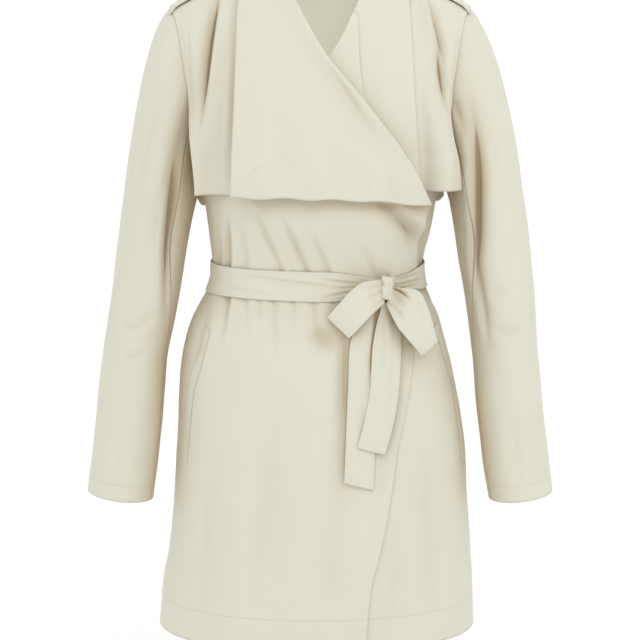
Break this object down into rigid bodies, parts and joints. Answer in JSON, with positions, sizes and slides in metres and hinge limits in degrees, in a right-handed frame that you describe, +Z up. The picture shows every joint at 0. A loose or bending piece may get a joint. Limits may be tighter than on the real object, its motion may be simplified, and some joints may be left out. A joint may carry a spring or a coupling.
{
  "type": "belted wrap jacket",
  "caption": "Cream wrap jacket with wide draped lapels, loose storm flaps, long sleeves and a tied cloth belt, filled out with no wearer.",
  "frame": {"origin": "middle of the neck opening, level with the inner ends of the shoulder seams, where the wearer's neck and shoulders hold the jacket", "axes": "+Z up along the body, +X to the wearer's left, -Y out of the front"},
  "size_m": [0.5953, 0.2743, 0.8471],
  "materials": {
    "cloth": "matte cream crepe"
  },
  "bodies": {
    "root": {"front_right": "cloth", "front_left": "cloth", "back": "cloth", "storm_flap_right": "cloth", "storm_flap_left": "cloth", "storm_flap_back": "cloth", "lapel_right": "cloth", "lapel_left": "cloth", "lapel_left_facing": "cloth", "collar_back": "cloth", "sleeve_right_upper": "cloth", "sleeve_right_under": "cloth", "sleeve_left_upper": "cloth", "sleeve_left_under": "cloth", "epaulette_right": "cloth", "epaulette_left": "cloth", "pocket_welt_right": "cloth", "pocket_welt_left": "cloth", "belt_band": "cloth", "belt_knot": "cloth", "bow_loop_right": "cloth", "bow_loop_left": "cloth", "belt_tail_front": "cloth", "belt_tail_back": "cloth"}
  },
  "joints": []
}
